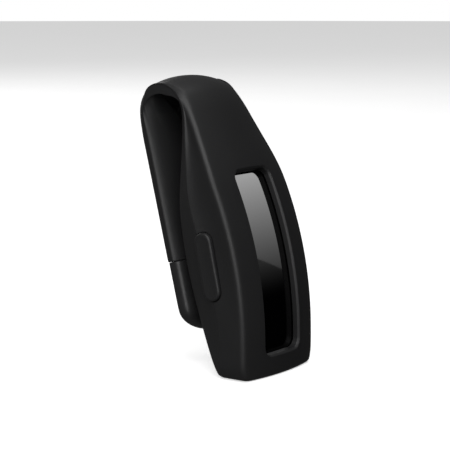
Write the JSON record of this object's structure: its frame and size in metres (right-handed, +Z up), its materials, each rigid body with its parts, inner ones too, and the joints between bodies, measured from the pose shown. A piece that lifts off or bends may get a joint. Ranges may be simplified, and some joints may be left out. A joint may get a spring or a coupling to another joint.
{
  "type": "clip-on fitness tracker case",
  "caption": "Curved soft silicone case with a belt clip that loops over its top, holding a small fitness tracker behind a front window, with a pad over the side button.",
  "frame": {"origin": "middle of the flat lower end of the case, which it stands on", "axes": "+Z up towards the loop of the clip, -Y the way the window faces, +Y towards the clip arm, -X the side with the button"},
  "size_m": [0.0223, 0.0274, 0.0522],
  "materials": {
    "silicone": "fine matte moulded silicone",
    "tip_plastic": "satin moulded nylon",
    "spring_steel": "rolled spring steel",
    "lens_plastic": "polished smoked lens",
    "adhesive": "black adhesive tape",
    "display_glass": "dark display glass",
    "flex_film": "amber polyimide film",
    "housing_plastic": "fine satin plastic",
    "seal_rubber": "soft grey seal",
    "chassis_metal": "stamped sheet",
    "screw_steel": "plated screws",
    "circuit_board": "green solder mask",
    "shield_metal": "tinned sheet",
    "chip_resin": "black moulding resin",
    "antenna_copper": "plated copper",
    "battery_foil": "laminated foil pouch",
    "motor_steel": "drawn steel can",
    "rotor_metal": "sintered tungsten weight",
    "button_plastic": "satin plastic",
    "switch_body": "moulded switch",
    "diode_resin": "clear green resin",
    "sensor_glass": "dark clear window",
    "contact_gold": "gold plated"
  },
  "bodies": {
    "case": {"case_shell": "silicone", "strap_loop": "silicone", "spring_case_leg": "spring_steel", "spring_bend": "spring_steel", "front_lens": "lens_plastic", "lens_adhesive": "adhesive", "display_panel": "display_glass", "display_flex": "flex_film", "tracker_housing": "housing_plastic", "cover_gasket": "seal_rubber", "rear_cover": "housing_plastic", "chassis": "chassis_metal", "chassis_screws": "screw_steel", "main_board": "circuit_board", "board_shield": "shield_metal", "board_chips": "chip_resin", "antenna": "antenna_copper", "battery": "battery_foil", "battery_flex": "flex_film", "motor_can": "motor_steel", "button_seal": "seal_rubber", "button_switch": "switch_body", "sensor_board": "circuit_board", "sensor_diodes": "diode_resin", "sensor_window": "sensor_glass", "charging_contacts": "contact_gold"},
    "clip_arm": {"arm_sleeve": "silicone", "arm_core": "tip_plastic", "spring_arm_leg": "spring_steel"},
    "pad": {"button_pad": "silicone"},
    "button": {"side_button": "button_plastic", "button_clip": "spring_steel"},
    "rotor": {"motor_rotor": "rotor_metal"}
  },
  "joints": [
    {"name": "clip_hinge", "type": "hinge", "parent": "case", "child": "clip_arm", "pos_m": [0, 0.0169, 0.0459], "axis": [1, 0, 0], "range_deg": [0, 14], "stiffness_Nm_per_rad": 0.4, "springref_deg": -5.73, "deforming": ["strap_loop", "spring_bend"]},
    {"name": "pad_press", "type": "slide", "parent": "case", "child": "pad", "axis": [1, 0, 0], "range_m": [0, 0.00035], "stiffness_N_per_m": 3000},
    {"name": "button_press", "type": "slide", "parent": "case", "child": "button", "axis": [1, 0, 0], "range_m": [0, 0.00035]},
    {"name": "motor_spin", "type": "hinge", "parent": "case", "child": "rotor", "pos_m": [0.001, 0.00144, 0.0125], "axis": [0, 0.9754, -0.2206], "continuous": true}
  ],
  "couplings": [
    {"joint": "button_press", "follows": "pad_press", "ratio": 1}
  ]
}
